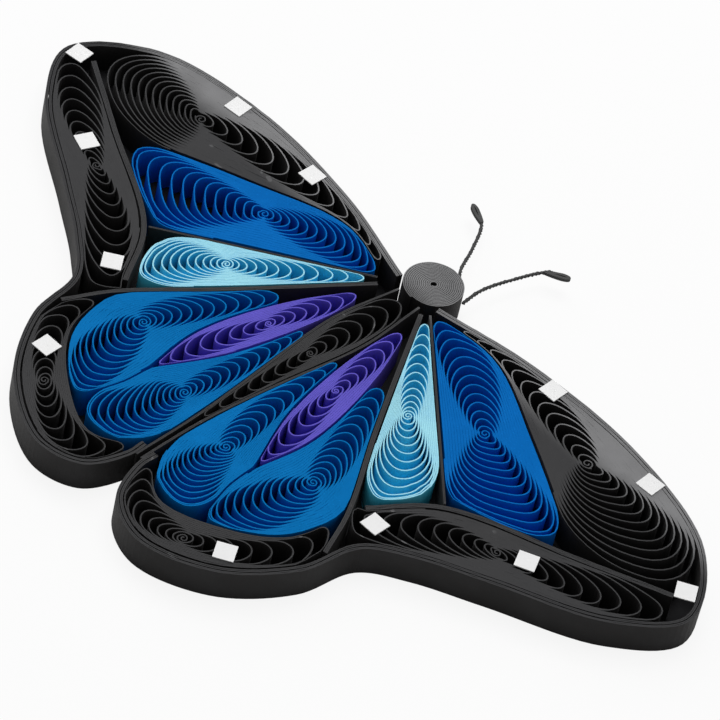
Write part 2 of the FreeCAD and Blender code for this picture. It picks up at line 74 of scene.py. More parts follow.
LENS = 250
CAMERA_AWAY = (0.31480, -0.40829, 0.50283)
CAMERA_TURN = (43.8808, -9.3878, 48.1329)
camera_data = bpy.data.cameras.new("camera")
camera_data.lens = LENS
camera_data.sensor_width = 36
camera_data.clip_end = 20
camera = bpy.data.objects.new("camera", camera_data)
bpy.context.scene.collection.objects.link(camera)
away_x, away_y, away_z = CAMERA_AWAY
camera.location = head_middle + Vector((away_x, away_y, away_z + STRIP))
camera.rotation_euler = Euler([math.radians(angle) for angle in CAMERA_TURN])
bpy.context.scene.camera = camera
print("head middle, mm:", [round(v / MM, 2) for v in head_middle])

# %% [markdown]
# A quilled piece is laid out on a flat pattern, so nearly all of the work is in plan. All
# coils of a wing lie between shared rails: smooth lines through a few points. Curve
# objects could hold them, but plain points are easier to cut, join and measure. The class
# Line keeps its running length, so that a point can be asked for by its share.

# %% Lines in plan
class Line:
    """A line in plan that can be asked for a point or a normal by its share of length."""

    def __init__(self, points):
        self.points = points
        self.run = [0.0]
        for start, end in zip(points, points[1:]):
            self.run.append(self.run[-1] + (end - start).length)
        self.length = self.run[-1]

    def at(self, share):
        target = min(max(share, 0.0), 1.0) * self.length
        index = min(max(bisect_right(self.run, target), 1), len(self.points) - 1)
        span = self.run[index] - self.run[index - 1]
        part = (target - self.run[index - 1]) / span if span else 0.0
        return self.points[index - 1].lerp(self.points[index], min(part, 1.0))

    def normal(self, share):
        step = (self.at(share + 0.004) - self.at(share - 0.004)).normalized()
        return Vector((-step.y, step.x))

    def nearest(self, point):
        """The share where the line passes a point most closely."""
        best = min(range(len(self.points)), key=lambda i: (self.points[i] - point).length)
        return self.run[best] / self.length

    def cut(self, start, end):
        """The piece of the line between two shares."""
        inside = [p for p, d in zip(self.points, self.run)
                  if start * self.length < d < end * self.length]
        return Line([self.at(start)] + inside + [self.at(end)])

    def between(self, start_point, end_point):
        """The piece of the line between the places nearest to two points."""
        return self.cut(self.nearest(start_point), self.nearest(end_point))

    def moved(self, distance):
        """The line moved to its left by a distance."""
        last = len(self.points) - 1
        out = []
        for index, point in enumerate(self.points):
            before = self.points[max(index - 1, 0)]
            after = self.points[min(index + 1, last)]
            step = (after - before).normalized()
            out.append(point + Vector((-step.y, step.x)) * distance)
        return Line(out)


def joined(*parts):
    """One line through the points of several parts."""
    points = []
    for part in parts:
        for point in (part.points if isinstance(part, Line) else part):
            if not points or (point - points[-1]).length > 1e-6:
                points.append(point)
    return Line(points)


SOFT_POINTS = 90


def softened(line, width):
    """The line with its corners rounded over a share of its length."""
    points = []
    for index in range(SOFT_POINTS + 1):
        share = index / SOFT_POINTS
        reach_out = min(width, share, 1 - share)
        near = line.at(share - reach_out / 2) + line.at(share + reach_out / 2)
        wide = line.at(share - reach_out) + line.at(share + reach_out)
        points.append((line.at(share) + near + wide) / 5)
    return Line(points)


def smooth(points, steps=10):
    """A soft curve through the points."""
    ends = [points[0] * 2 - points[1]] + list(points) + [points[-1] * 2 - points[-2]]
    path = [points[0].copy()]
    for before, start, end, after in zip(ends, ends[1:], ends[2:], ends[3:]):
        d0 = math.sqrt((start - before).length)
        d1 = math.sqrt((end - start).length)
        d2 = math.sqrt((after - end).length)
        leave = ((start - before) / d0 - (end - before) / (d0 + d1) + (end - start) / d1) * d1
        arrive = ((end - start) / d1 - (after - start) / (d1 + d2) + (after - end) / d2) * d1
        for step in range(1, steps + 1):
            t = step / steps
            path.append(start * (2 * t**3 - 3 * t**2 + 1) + leave * (t**3 - 2 * t**2 + t)
                        + end * (3 * t**2 - 2 * t**3) + arrive * (t**3 - t**2))
    return Line(path)


# %% [markdown]
# These are the points of the pattern: the border's course, the strips between the coils
# and the places where they meet. Every place is given in millimetres outward and forward
# from the head's middle, so one list serves both wings. A traced outline would follow the
# border more closely, but a few named points stay easy to correct.

# %% Points of one wing
POINT = {name: Vector(place) for name, place in {
    "lead_mid": (20.0, 1.3), "lead_far": (41.0, 2.3), "shoulder": (59.0, -2.4),
    "tip": (67.2, -13.4), "tip_low": (61.0, -23.0), "edge_mid": (46.0, -32.2),
    "edge_low": (36.8, -37.8), "notch": (31.0, -43.0), "hind_side": (28.9, -52.5),
    "hind_corner": (21.7, -62.6), "hind_foot": (10.8, -67.8), "lobe": (3.6, -65.2),
    "tail": (0.8, -58.8), "throat": (6.2, -4.7), "hump": (16.0, -2.7),
    "hump_far": (31.0, -9.2), "fork": (49.6, -19.0), "band_tip": (62.6, -12.2),
    "band_corner": (32.4, -28.1), "band_foot": (25.9, -37.4), "blue_foot": (31.6, -28.0),
    "blue_root": (5.7, -6.0), "waist_root": (4.7, -6.9), "waist_mid": (16.4, -26.6),
    "waist_low": (25.0, -39.8), "waist_foot": (28.4, -47.6), "purple_top": (4.2, -8.2),
    "purple_outer": (9.2, -19.8), "purple_low": (12.4, -35.0),
    "purple_foot": (11.2, -45.4), "purple_inner": (3.7, -17.5),
    "purple_side": (6.4, -33.7), "seam_mid": (11.5, -50.5), "seam_foot": (13.4, -57.4),
    "ring_start": (25.2, -41.6), "ring_side": (23.1, -50.2), "ring_low": (15.7, -57.0),
    "ring_foot": (7.6, -60.3), "ring_end": (1.7, -56.6), "body_wide": (3.3, -17.0),
    "body_narrow": (1.6, -34.0), "body_low": (0.6, -46.0), "body_end": (0.5, -57.6),
    "tail_top": (0.75, -55.4),
}.items()}
HEAD_RADIUS = 4.65
# Room between a coil and what lies beside it
GAP = 0.06
# Thickness of the glued layers
BORDER = 0.45
BAND = 0.8
DIVIDER = 0.35
WAIST = 0.7
BODY_SIDE = 0.25
# The tail is bent so far to one side, over the whole length of the plan
BODY_LEAN = 2.6
PLAN_LENGTH = 67.8
# The right wing's inner coils reach closer to the head than the left wing's.
RIGHT_POINT = dict(POINT)
RIGHT_POINT.update({
    "throat": Vector((5.0, -3.8)), "blue_root": Vector((4.3, -4.7)),
    "waist_root": Vector((3.4, -5.7)), "purple_top": Vector((3.9, -7.6)),
})
print("points of a wing:", len(POINT))

# %% [markdown]
# The rails are the middle lines of the strips that run between the coils, and the seams
# where two coils touch. Both wings get their own set, because the right one differs a
# little near the head.

# %% Rails
ROOT_ANGLE = math.radians(-33)
ROOT_REACH = HEAD_RADIUS + 0.1
LAYER_GAP = 0.1


def wing_lines(point):
    """All shared rails of one wing."""
    def rail(*names):
        return smooth([point[name] for name in names])

    lines = {}
    root = Vector((ROOT_REACH * math.cos(ROOT_ANGLE), ROOT_REACH * math.sin(ROOT_ANGLE)))
    lines["outline"] = smooth([root] + [point[name] for name in (
        "lead_mid", "lead_far", "shoulder", "tip", "tip_low", "edge_mid", "edge_low",
        "notch", "hind_side", "hind_corner", "hind_foot", "lobe", "tail", "tail_top")])
    lines["rim"] = lines["outline"].moved(-2 * BORDER - LAYER_GAP)
    lines["hump"] = rail("throat", "hump", "hump_far", "fork")
    lines["band"] = rail("band_tip", "fork", "band_corner", "band_foot")
    lines["waist"] = rail("waist_root", "waist_mid", "waist_low", "waist_foot")
    lines["purple_out"] = rail("purple_top", "purple_outer", "purple_low", "purple_foot")
    lines["purple_in"] = rail("purple_top", "purple_inner", "purple_side", "purple_foot")
    lines["seam"] = rail("purple_foot", "seam_mid", "seam_foot")
    lines["ring"] = rail("ring_start", "ring_side", "ring_low", "ring_foot", "ring_end")
    lines["body"] = smooth([Vector((2.2, -ROOT_REACH - 0.2))] + [point[name] for name in (
        "body_wide", "body_narrow", "body_low", "body_end")])
    beside = lines["band"].moved(-BAND / 2 - LAYER_GAP - DIVIDER / 2)
    lines["blue"] = Line([point["blue_root"], beside.at(beside.nearest(point["blue_foot"]))])
    return lines


sides = (("left", -1, POINT), ("right", 1, RIGHT_POINT))
lines = {side_name: wing_lines(point) for side_name, _, point in sides}
print("rim length, mm:", round(lines["left"]["outline"].length, 1))

# %% [markdown]
# On the table a loose coil is pushed between the strips around it until it fills the room
# there. So each coil gets a cell between a front rail and a rear rail. The cell answers
# two questions at any share of its length: where is the middle, and how much room is
# there on each side. The turns of the coil are worked out from that room alone.

# %% Cells
CELL_SAMPLES = 200
LEAST_ROOM = 0.3
LATEST_START = 0.9


class Cell:
    """The room of one coil between two rails."""

    def __init__(self, front, rear, front_gap=GAP, rear_gap=GAP, end_gap=0.4):
        self.rails = (front, rear)
        self.gaps = (front_gap, rear_gap)
        self.length = (front.length + rear.length) / 2
        self.start = LATEST_START
        for sample in range(int(LATEST_START * CELL_SAMPLES)):
            if self.least(sample / CELL_SAMPLES) >= LEAST_ROOM:
                self.start = sample / CELL_SAMPLES
                break
        self.end = 1.0 - end_gap / front.length

    def section(self, share):
        """Middle, direction from front to rear, and half the width."""
        front, rear = (rail_line.at(share) for rail_line in self.rails)
        half = max((rear - front).length / 2, 1e-6)
        return (front + rear) / 2, (rear - front) / (2 * half), half

    def slant(self, share, flank):
        """How squarely the section meets the front (-1) or the rear (1) rail."""
        direction = self.section(share)[1]
        return max(abs(direction.dot(self.rails[flank > 0].normal(share))), 0.5)

    def room(self, share, flank):
        """Room for paper from the middle to one rail."""
        half = self.section(share)[2]
        return half - self.gaps[flank > 0] / self.slant(share, flank)

    def least(self, share):
        return min(self.room(share, -1), self.room(share, 1))


def wing_cells(line, point):
    """The room of each coil of one wing. Bare numbers are shares of a rail's length."""
    band, blue, ring, waist = (line[name] for name in ("band", "blue", "ring", "waist"))
    inside_band = band.moved(-BAND / 2)
    outside_band = band.moved(BAND / 2)
    end_line = band.moved(-BAND / 2 - 0.2)
    waist_inner = waist.moved(-WAIST / 2)
    waist_outer = waist.moved(WAIST / 2)
    fork_share = inside_band.nearest(point["fork"])
    blue_end = inside_band.nearest(point["blue_foot"])
    waist_end = waist.nearest(point["band_foot"]) - 0.03
    cells = {}
    cells["front"] = Cell(line["rim"].between(point["throat"], point["band_tip"]),
                          line["hump"].cut(0, 0.985), end_gap=0.5)
    cells["dark"] = Cell(
        joined(line["hump"].cut(0, 0.93), [end_line.at(fork_share + 0.035)]),
        joined(blue.cut(0, 0.965), [end_line.at(blue_end - 0.045)]),
        rear_gap=DIVIDER / 2 + GAP, end_gap=0.2)
    cells["light"] = Cell(
        softened(joined(blue.cut(0, 0.92), inside_band.cut(blue_end + 0.08, 0.86)), 0.12),
        waist.cut(0, waist_end), DIVIDER / 2 + GAP, WAIST / 2 + GAP, 0.3)
    cells["edge"] = Cell(
        line["rim"].between(point["tip"], waist_outer.at(0.90)),
        joined(outside_band.cut(0.04, 1.0), waist_outer.cut(0.80, 0.90)), end_gap=1.2)
    cells["outer"] = Cell(
        softened(joined(waist_inner.between(point["purple_outer"], point["ring_start"]),
                        ring.moved(-GAP).between(point["ring_start"], point["ring_low"])),
                 0.06),
        joined(line["purple_out"].between(point["purple_outer"], point["purple_foot"]),
               line["seam"]))
    cells["purple"] = Cell(line["purple_out"], line["purple_in"], end_gap=0.3)
    cells["inner"] = Cell(
        joined(line["purple_in"].between(point["purple_inner"], point["purple_foot"]),
               line["seam"]),
        softened(joined(line["body"].between(point["purple_inner"], point["ring_end"]),
                        ring.between(point["ring_foot"], point["ring_end"]).points[::-1]),
                 0.12),
        GAP, BODY_SIDE / 2 + GAP, 0.6)
    cells["hind"] = Cell(
        ring,
        joined(waist_inner.between(point["ring_start"], point["waist_foot"]),
               line["rim"].between(point["hind_side"], point["tail"])), end_gap=0.6)
    right_body = line["body"].cut(0, line["body"].nearest(point["body_low"]))
    left_body = Line([Vector((-p.x, p.y)) for p in right_body.points])
    side_gap = BODY_SIDE / 2 + GAP
    cells["body"] = Cell(left_body, right_body, side_gap, side_gap, 0.5)
    return cells


cells = {side_name: wing_cells(lines[side_name], point) for side_name, _, point in sides}
for name, cell in cells["left"].items():
    print(f"{name:7s} length {cell.length:5.1f} mm, widest half "
          f"{max(cell.least(s / 20) for s in range(21)):4.1f} mm")

# %% [markdown]
# A quilling coil is wound, let go, pushed to one spot and pinched. Its turns then press
# against each other along the flanks and open into crescents towards both ends. The
# winding below does that: a turn keeps a fixed step to its neighbour along each flank,
# and closes over the axis in a round arch where its end lies. A round spiral pressed into
# shape by a lattice would stretch the paper; placed turn by turn, it keeps its thickness.

# %% Winding
# Points in a turn, thickness of the paper and the dark line between packed turns
STEPS = 64
PAPER = 0.2
SEAM = 0.03
# How strongly a narrow place presses the turns closer
PRESS = 1.5
# Turns over which the outer end of the strip is glued down
TAIL = 0.3
# The little curl that the quilling needle leaves in the eye
CURL_TURNS = 1.3
CURL_STEPS = 36
# Steps in which a tip is searched, and the least width of a turn there
TIP_STEPS = 60
TIP_WIDTH = 0.5


class Winding:
    """The path of one strip in its cell, with the thickness at every point."""

    def __init__(self, cell, turns, eye, aside, near_law, far_law, near_arch, far_arch,
                 fullness, packed_rim, eye_radius):
        self.cell = cell
        self.turns = turns
        self.eye = cell.start + (cell.end - cell.start) * eye
        self.eye_radius = eye_radius
        self.laws = (near_law, far_law)
        self.arches = (near_arch, far_arch)
        self.fullness = (2.0, fullness)
        self.packed_rim = (0.0, packed_rim)
        shift = aside * cell.least(self.eye)
        self.eye_room = [cell.room(self.eye, flank) - PAPER / 2 for flank in (-1, 1)]
        self.step = [(self.eye_room[0] + shift - eye_radius) / turns,
                     (self.eye_room[1] - shift - eye_radius) / turns]
        samples = 4 * int(turns)
        self.tips = [[self.find_tip(side, turns * i / samples) for i in range(samples + 1)]
                     for side in (0, 1)]

    def steps(self, share):
        """Step from turn to turn on both flanks; narrow places press them closer."""
        out = []
        for index, flank in enumerate((-1, 1)):
            room = self.cell.room(share, flank) - PAPER / 2
            press = min(max(room / self.eye_room[index], 0.0), 1.0)**PRESS
            out.append(self.step[index] * max(press, 0.05))
        return out

    def depths(self, share, wound):
        """Distance from the middle line to the turn on the front and the rear flank."""
        left = self.turns - wound
        return [self.cell.room(share, flank) - PAPER / 2 - left * step
                for flank, step in zip((-1, 1), self.steps(share))]

    def find_tip(self, side, wound):
        """The share of a turn's near (0) or far (1) tip."""
        end = (self.cell.start, self.cell.end)[side]
        away = abs(end - self.eye) * self.cell.length
        part = wound / self.turns
        edge = 1 - self.packed_rim[side]
        reach = 1 - self.packed_rim[side] * 0.3
        if part < edge:
            part = reach * (part / edge)**self.laws[side]
        else:
            part = reach + (1 - reach) * (part - edge) / max(1 - edge, 1e-6)
        goal = self.eye_radius + (away - self.eye_radius) * part
        for step in range(TIP_STEPS):
            distance = goal * (1 - step / TIP_STEPS)
            share = self.eye + math.copysign(distance / self.cell.length, end - self.eye)
            if sum(self.depths(share, wound)) >= TIP_WIDTH:
                return share
        return self.eye

    def tip(self, side, wound):
        """The same share, read from the table made at the start."""
        table = self.tips[side]
        place = min(max(wound / self.turns, 0), 1) * (len(table) - 1)
        index = min(int(place), len(table) - 2)
        return table[index] + (table[index + 1] - table[index]) * (place - index)

    def corner(self, wound):
        """Place and thickness of the strip after that many turns."""
        ahead = math.cos(2 * math.pi * wound)
        aside = math.sin(2 * math.pi * wound)
        side = 1 if ahead > 0 else 0
        flank = 1 if aside > 0 else -1
        tip = self.tip(side, wound)
        share = self.eye + (tip - self.eye) * abs(ahead)
        front, rear = self.depths(share, wound)
        half = max((front + rear) / 2, 0.12)
        lean = (rear - front) / 2
        tip_half = max(sum(self.depths(tip, wound)) / 2, 0.2)
        span = abs(tip - self.eye) * self.cell.length
        reach_back = min(self.arches[side] * max(tip_half, half * 0.5), span)
        into = min(abs(tip - share) * self.cell.length / max(reach_back, 1e-3), 1.0)
        power = self.fullness[side]
        arch = max(1 - (1 - into)**power, 0.0)**(1 / power)
        middle, direction = self.cell.section(share)[:2]
        packed = self.steps(share)[flank > 0] - SEAM
        blend = min(max((into - 0.55) / 0.45, 0.0), 1.0)
        thick = max(PAPER + (packed - PAPER) * blend * blend * (3 - 2 * blend), 0.1)
        left = min((self.turns - wound) / TAIL, 1.0)
        tail = thick * (1 - left) * 0.6
        place = middle + direction * (lean + flank * (half * arch - tail / 2))
        return place, thick - tail

    def path(self):
        """Eye curl first, then all the turns outward."""
        out = []
        centre = self.corner(0.25)[0].lerp(self.corner(-0.25)[0], 0.5)
        direction = self.cell.section(self.eye)[1]
        ahead = Vector((direction.y, -direction.x))
        way = self.cell.section(self.eye + 0.02)[0] - self.cell.section(self.eye)[0]
        if way.dot(ahead) < 0:
            ahead = -ahead
        curl_points = int(CURL_TURNS * CURL_STEPS)
        for index in range(curl_points):
            turn = 2 * math.pi * (index - curl_points) / CURL_STEPS
            radius = self.eye_radius * (0.2 + 0.65 * index / curl_points)
            out.append((centre + ahead * (radius * math.cos(turn))
                        + direction * (radius * math.sin(turn)), PAPER * 0.9))
        for index in range(int(self.turns * STEPS) + 1):
            out.append(self.corner(index / STEPS))
        return out


# %% [markdown]
# The hand winds every coil a little differently, so each row below states its turns, the
# place of its eye and how the crescents spread. Values above one in the two laws push
# the crescents apart towards the end; the arch values say how round they close.

# %% Coils of one wing
COIL_NODES = {
    "front": "forewing_front_coil", "edge": "forewing_edge_coil",
    "dark": "forewing_dark_blue_coil", "light": "forewing_light_blue_coil",
    "outer": "hindwing_outer_blue_coil", "purple": "hindwing_purple_coil",
    "inner": "hindwing_inner_blue_coil", "hind": "hindwing_edge_coil",
}
# turns, left eye, left aside, right eye, right aside, near law, far law, near arch,
# far arch, far fullness, share packed at the far end, eye radius
WINDINGS = {
    "front": (13.2, 0.73, 0.0, 0.605, 0.1, 1.1, 1.1, 1.7, 1.15, 2.4, 0.0, 1.0),
    "edge": (10.2, 0.47, 0.0, 0.54, 0.0, 1.25, 1.35, 1.4, 1.4, 2.0, 0.0, 0.8),
    "dark": (13.2, 0.50, -0.2, 0.575, 0.0, 1.15, 1.2, 1.7, 1.0, 2.7, 0.08, 0.9),
    "light": (12.2, 0.62, -0.1, 0.54, 0.1, 1.4, 1.2, 1.8, 1.7, 2.0, 0.15, 0.7),
    "outer": (13.2, 0.56, 0.0, 0.56, 0.0, 1.3, 1.2, 1.8, 1.4, 2.0, 0.12, 0.8),
    "purple": (8.2, 0.45, 0.0, 0.47, 0.1, 1.2, 1.2, 2.0, 2.0, 2.0, 0.0, 0.55),
    "inner": (13.2, 0.60, 0.1, 0.66, -0.1, 1.3, 1.2, 1.8, 1.3, 2.0, 0.10, 0.8),
    "hind": (9.2, 0.51, 0.0, 0.62, 0.1, 1.4, 1.4, 1.5, 1.5, 2.0, 0.0, 0.8),
    "body": (8.2, 0.48, 0.0, 0.48, 0.0, 1.2, 1.2, 1.8, 1.8, 2.0, 0.0, 0.6),
}
print("turns wound:", round(sum(row[0] for row in WINDINGS.values()), 1))

# %% [markdown]
# A paper strip on edge is a thin wall. A chain of points on each side of the paper is
# closed to one long row of faces, and an extrusion draws it up to the strip's width. A
# curve with a flat bevel would do for a loose turn, but packed flanks need a thickness
# that changes from point to point. The cut edge rises and falls a few hundredths of a
# millimetre, as glued paper does.

# %% Strip meshes
def to_frame(place, side):
    """A point of a wing's plan in the frame, in metres."""
    x = side * place.x + BODY_LEAN * (place.y / PLAN_LENGTH)**2
    return head_middle + Vector((x, place.y, 0)) * MM


def finished(name, mesh_builder, material, node):
    """Write the bmesh to an object that rides on the piece's body and replaces a node."""
    bmesh.ops.recalc_face_normals(mesh_builder, faces=mesh_builder.faces)
    mesh = bpy.data.meshes.new(name)
    mesh_builder.to_mesh(mesh)
    mesh_builder.free()
    piece = bpy.data.objects.new(name, mesh)
    bpy.context.scene.collection.objects.link(piece)
    mesh.materials.append(material)
    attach(piece, "root")
    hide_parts(node)
    return piece


def add_ribbon(builder, path, thicknesses, low=0.0, high=None):
    """Add one strip on edge along a path in the frame."""
    high = STRIP if high is None else high
    last = len(path) - 1
    rungs = []
    for index, (point, thick) in enumerate(zip(path, thicknesses)):
        step = (path[min(index + 1, last)] - path[max(index - 1, 0)]).normalized()
        aside = Vector((-step.y, step.x, 0)) * (thick * MM / 2)
        foot = Vector((point.x, point.y, low))
        rungs.append((builder.verts.new(foot + aside), builder.verts.new(foot - aside)))
    faces = [builder.faces.new((a[0], a[1], b[1], b[0])) for a, b in zip(rungs, rungs[1:])]
    grown = bmesh.ops.extrude_face_region(builder, geom=faces)
    tops = [part for part in grown["geom"] if isinstance(part, bmesh.types.BMVert)]
    bmesh.ops.translate(builder, verts=tops, vec=(0, 0, high - low))
    return tops


def roughened(tops, amount, seed):
    """Let the strip's top edge rise and fall a little along its length."""
    for vert in tops:
        vert.co.z += amount * MM * noise(vert.co * 900 + Vector((seed, 0, 0)))


# %% [markdown]
# The finishes are all paper. Shader maths is easier to read as Python, so one small class
# wraps a socket and turns plus, minus and times into Math nodes.

# %% Shader expressions
class Socket:
    """A node's output that can be used in an expression."""

    def __init__(self, tree, link):
        self.tree = tree
        self.link = link

    def node(self, kind, settings=None, **inputs):
        """A new node; i0, i1 and so on name its inputs by number."""
        made = self.tree.nodes.new(kind)
        for key, value in (settings or {}).items():
            setattr(made, key, value)
        for key, value in inputs.items():
            place = int(key[1:]) if key[1:].isdigit() else key
            if isinstance(value, Socket):
                self.tree.links.new(value.link, made.inputs[place])
            else:
                made.inputs[place].default_value = value
        return made

    def math(self, operation, other=None):
        inputs = {"i0": self}
        if other is not None:
            inputs["i1"] = other
        made = self.node("ShaderNodeMath", {"operation": operation}, **inputs)
        return Socket(self.tree, made.outputs[0])

    def __add__(self, other):
        return self.math("ADD", other)

    def __radd__(self, other):
        return self.math("ADD", other)

    def __sub__(self, other):
        return self.math("SUBTRACT", other)

    def __rsub__(self, other):
        return (self * -1) + other

    def __mul__(self, other):
        return self.math("MULTIPLY", other)

    def ramp(self, low, high):
        """0 below low, 1 above high, soft in between."""
        made = self.node("ShaderNodeMapRange", {"interpolation_type": "SMOOTHSTEP"},
                         i0=self, i1=low, i2=high, i3=0.0, i4=1.0)
        return Socket(self.tree, made.outputs[0])

    def mix(self, first, second):
        """Colour mix by this factor."""
        made = self.node("ShaderNodeMix", {"data_type": "RGBA"}, i0=self)
        for place, value in ((6, first), (7, second)):
            if isinstance(value, Socket):
                self.tree.links.new(value.link, made.inputs[place])
            else:
                made.inputs[place].default_value = (*value, 1.0)
        return Socket(self.tree, made.outputs[2])


def new_material(name):
    """A material with its tree, its shader and the object's own coordinates."""
    material = bpy.data.materials.new(name)
    material.use_nodes = True
    tree = material.node_tree
    tree.nodes.clear()
    output = tree.nodes.new("ShaderNodeOutputMaterial")
    shader = tree.nodes.new("ShaderNodeBsdfPrincipled")
    tree.links.new(shader.outputs[0], output.inputs["Surface"])
    coordinates = tree.nodes.new("ShaderNodeTexCoord")
    return material, tree, shader, Socket(tree, coordinates.outputs["Object"])


def noise_at(place, scale, detail, roughness=0.55):
    made = place.node("ShaderNodeTexNoise", Vector=place, Scale=scale, Detail=detail,
                      Roughness=roughness)
    return Socket(place.tree, made.outputs["Fac"])


# %% [markdown]
# Cut paper shows two surfaces. The cut edge on top is fuzzy and paler; the flat side is
# smoother and more saturated. Their two colours are partly the paper's own and partly painted
# light: the light the top edge catches and the little light that reaches the flat sides
# between the turns are set into them. The face's direction tells them apart: where the normal
# points up, it is a cut edge. Fine fibres and a slow drift of tone keep both from looking
# printed. A scan of paper could be wrapped on instead, but noise in the object's own
# coordinates needs no unwrapping and stays sharp up close.

# %% Paper
# Scales of the noise, in waves per metre
FIBRE_SCALE = 9000
SPECK_SCALE = 3200
DRIFT_SCALE = 160
DROP_SCALE = 420
PATCH_SCALE = 90
# Where the painted highlight on the leading edges begins and reaches full strength, in metres
# forward of the frame's middle
HIGHLIGHT_FROM, HIGHLIGHT_TO = 0.0165, 0.0225
ROUGHNESS = 0.62


def paper(name, wall, edge, fibre=0.40, sheen=0.0, spots=0.0, painted_highlight=None, specular=0.03):
    """Coloured paper: wall is the flat side, edge the cut edge, lit a painted grey highlight
    on the front edges.
    """
    material, tree, shader, place = new_material(name)
    geometry = tree.nodes.new("ShaderNodeNewGeometry")
    split = tree.nodes.new("ShaderNodeSeparateXYZ")
    tree.links.new(geometry.outputs["Normal"], split.inputs[0])
    upward = Socket(tree, split.outputs[2]).math("ABSOLUTE").ramp(0.35, 0.85)
    fibres = noise_at(place, FIBRE_SCALE, 4.0, 0.7)
    drift = noise_at(place, DRIFT_SCALE, 2.0)
    speck = noise_at(place, SPECK_SCALE, 2.0)
    # Partly painted light: the cut edge's colour holds the light it catches, and the flat
    # sides of the blues and the purple are set more vivid for the little light between the
    # turns; the rest is the paper's own.
    colour = upward.mix(wall, edge)
    darker = tuple(channel * 0.62 for channel in edge)
    lighter = tuple(min(channel * 1.35 + 0.003, 1.0) for channel in edge)
    colour = ((0.62 - fibres) * fibre * 2.2 * upward).math("MAXIMUM", 0.0).mix(colour, darker)
    colour = (speck.ramp(0.60, 0.72) * fibre * 1.6 * upward).mix(colour, lighter)
    colour = (drift.ramp(0.40, 0.75) * 0.22).mix(colour, lighter)
    # Painted highlight: a grey band on the cut edges towards the leading edge, where grazing
    # light makes the real paper shine.
    if painted_highlight:
        split_place = place.node("ShaderNodeSeparateXYZ", i0=place)
        forward = Socket(tree, split_place.outputs[1])
        front_highlight_mask = forward.ramp(HIGHLIGHT_FROM, HIGHLIGHT_TO) * (0.55 + drift * 0.7) * upward
        colour = front_highlight_mask.mix(colour, painted_highlight)
    rough = ROUGHNESS + (fibres - 0.5) * 0.25
    if spots:
        drops = noise_at(place, DROP_SCALE, 1.0).ramp(0.70, 0.74)
        drops = drops * noise_at(place, PATCH_SCALE, 1.0).ramp(0.5, 0.6)
        drops = drops * spots * upward
        colour = drops.mix(colour, tuple(min(channel * 2.2 + 0.03, 1.0) for channel in edge))
        rough = rough - drops * 0.35
    tree.links.new(colour.link, shader.inputs["Base Color"])
    tree.links.new(rough.link, shader.inputs["Roughness"])
    bump = tree.nodes.new("ShaderNodeBump")
    bump.inputs["Strength"].default_value = 0.35
    bump.inputs["Distance"].default_value = 0.00004
    height = fibres + speck * 0.6
    tree.links.new(height.link, bump.inputs["Height"])
    tree.links.new(bump.outputs[0], shader.inputs["Normal"])
    shader.inputs["Specular IOR Level"].default_value = specular
    shader.inputs["Sheen Weight"].default_value = sheen
    shader.inputs["Sheen Roughness"].default_value = 0.4
    return material


# %% [markdown]
# The piece needs seven papers. The flat sides stand upright and get little light from above,
# so the blues and the purple are set more vivid there than on their cut edges, as painted
# light.
# Black paper is the only one with a sheen and with dull drops of dried glue, and its leading
# edges get a painted grey highlight where the light grazes them.

# %% Papers of the piece
# The grey given as lit on the black paper is a painted highlight on its leading edges.
black_paper = paper("black_paper", (0.016, 0.015, 0.015), (0.028, 0.028, 0.030),
                    sheen=0.04, spots=0.8, painted_highlight=(0.23, 0.23, 0.235), specular=0.25)
dark_blue_paper = paper("dark_blue_paper", (0.0, 0.14, 0.60), (0.0, 0.15, 0.52))
mid_blue_paper = paper("mid_blue_paper", (0.0, 0.16, 0.56), (0.0, 0.175, 0.50))
light_blue_paper = paper("light_blue_paper", (0.07, 0.66, 0.96), (0.38, 0.80, 0.98))
purple_paper = paper("purple_paper", (0.13, 0.10, 0.62), (0.135, 0.11, 0.60))
white_paper = paper("white_paper", (0.88, 0.88, 0.88), (0.96, 0.96, 0.96), fibre=0.03)
twisted_paper = paper("twisted_paper", (0.06, 0.06, 0.06), (0.09, 0.09, 0.09), fibre=0.5)
PAPERS = {
    "front": (black_paper, "black_paper"), "edge": (black_paper, "black_paper"),
    "dark": (dark_blue_paper, "dark_blue_paper"),
    "light": (light_blue_paper, "light_blue_paper"),
    "outer": (mid_blue_paper, "mid_blue_paper"), "inner": (mid_blue_paper, "mid_blue_paper"),
    "purple": (purple_paper, "purple_paper"), "hind": (black_paper, "black_paper"),
    "body": (black_paper, "black_paper"),
}
print("papers:", sorted({slot for _, slot in PAPERS.values()}))

# %% [markdown]
# Eight coils fill a wing, four of them in blue and one in purple. With the winding and
# the papers ready they are one loop: the same cells serve left and right, only the eyes
# differ. Each coil is an object of its own, as each is a strip of its own on the table.

# %% Wing coils
EDGE_WAVE = 0.05


def wind_coil(name, node, key, cell, side, seed):
    """Wind one strip in its cell and make it a piece."""
    turns, left_eye, left_aside, right_eye, right_aside, *laws = WINDINGS[key]
    eye, aside = (left_eye, left_aside) if side < 0 else (right_eye, right_aside)
    corners = Winding(cell, turns, eye, aside, *laws).path()
    builder = bmesh.new()
    tops = add_ribbon(builder, [to_frame(place, side) for place, _ in corners],
                      [thick for _, thick in corners])
    roughened(tops, EDGE_WAVE, seed)
    material, slot = PAPERS[key]
    return finished(name, builder, material, node)


triangles = 0
for side_name, side, _ in sides:
    for key, label in COIL_NODES.items():
        node = f"{side_name}_{label}"
        piece = wind_coil(node + "_winding", node, key, cells[side_name][key], side,
                          len(label) + side)
        triangles += 2 * len(piece.data.polygons)
print("wing coils, triangles:", triangles)

# %% [markdown]
# The body is one more coil, pinched at both ends between the two wings. The head is not
# let go at all: its strip stays in a tight round roll with a small open eye. A plain
# cylinder would lose the fine rings on its top, so it is wound as well.

# %% Body and head
wind_coil("body_winding", "body_coil", "body", cells["left"]["body"], 1, 5)

